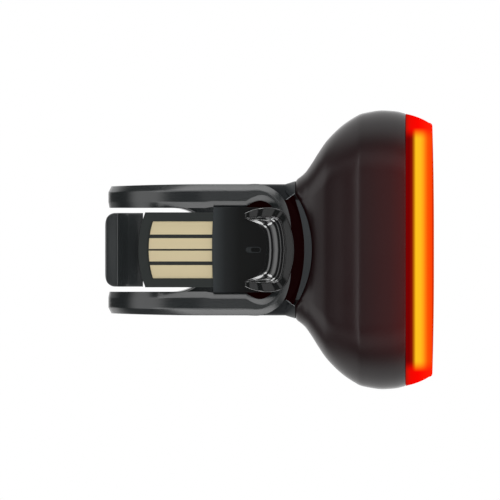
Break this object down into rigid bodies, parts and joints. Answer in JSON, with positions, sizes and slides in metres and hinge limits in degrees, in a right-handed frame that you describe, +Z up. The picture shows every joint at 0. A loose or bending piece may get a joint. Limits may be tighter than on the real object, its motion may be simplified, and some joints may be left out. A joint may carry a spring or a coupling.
{
  "type": "bike rear light",
  "caption": "Rechargeable rear light for a bicycle seat post: wide red lens, dark casing, silicone strap that hooks beside a built-in charging plug.",
  "frame": {"origin": "centre of the post clamp, on the axis of the seat post", "axes": "+Z up along the seat post, +X the way the light shines, strap hooked on the -Y side"},
  "size_m": [0.0526, 0.0384, 0.0446],
  "materials": {
    "casing": "satin moulded, dark smoke",
    "red_lens": "clear red polycarbonate",
    "seal_rubber": "matt",
    "gloss_black": "polished black",
    "screw_steel": "zinc plated",
    "strap_silicone": "smooth black silicone",
    "light_pipe": "smoked clear",
    "plug_plastic": "moulded black",
    "gilt": "gold plated",
    "flex_film": "amber polyimide",
    "cell_foil": "laminated foil",
    "foam": "open foam",
    "circuit_board": "green solder mask",
    "chips": "moulded",
    "led_metal": "white masked aluminium board",
    "tray_white": "white moulded",
    "phosphor": "lamp resin"
  },
  "bodies": {
    "light": {"head_shell": "casing", "lens": "red_lens", "lens_gasket": "seal_rubber", "back_cover": "gloss_black", "cover_seal": "seal_rubber", "cover_screws": "screw_steel", "saddle_pad": "strap_silicone", "usb_housing": "gloss_black", "housing_screws": "screw_steel", "indicator_pipe": "light_pipe", "usb_tongue": "plug_plastic", "usb_contacts": "gilt", "usb_flex": "flex_film", "guard_root": "strap_silicone", "strap_web": "strap_silicone", "strap_anchor": "gloss_black", "anchor_screws": "screw_steel", "battery_cell": "cell_foil", "battery_pad": "foam", "main_board": "circuit_board", "board_parts": "chips", "board_spacers": "plug_plastic", "board_screws": "screw_steel", "tact_switch": "chips", "led_board": "led_metal", "light_tray": "tray_white", "front_emitters": "phosphor", "side_emitters": "phosphor"},
    "strap_arm": {"strap_bands": "strap_silicone", "strap_end": "strap_silicone"},
    "guard": {"plug_guard": "strap_silicone"},
    "button": {"button_cap": "strap_silicone", "switch_plunger": "plug_plastic"}
  },
  "joints": [
    {"name": "strap_open", "type": "hinge", "parent": "light", "child": "strap_arm", "pos_m": [-0.0161, 0, 0], "axis": [0, 0, -1], "range_deg": [0, 95], "stiffness_Nm_per_rad": 0.02, "deforming": ["strap_end"]},
    {"name": "guard_flex", "type": "hinge", "parent": "light", "child": "guard", "pos_m": [0.00025, -0.01375, 0], "axis": [0, 0, -1], "range_deg": [0, 70], "stiffness_Nm_per_rad": 0.004},
    {"name": "button_press", "type": "slide", "parent": "light", "child": "button", "axis": [0, 0, -1], "range_m": [0, 0.0004], "stiffness_N_per_m": 4000}
  ]
}
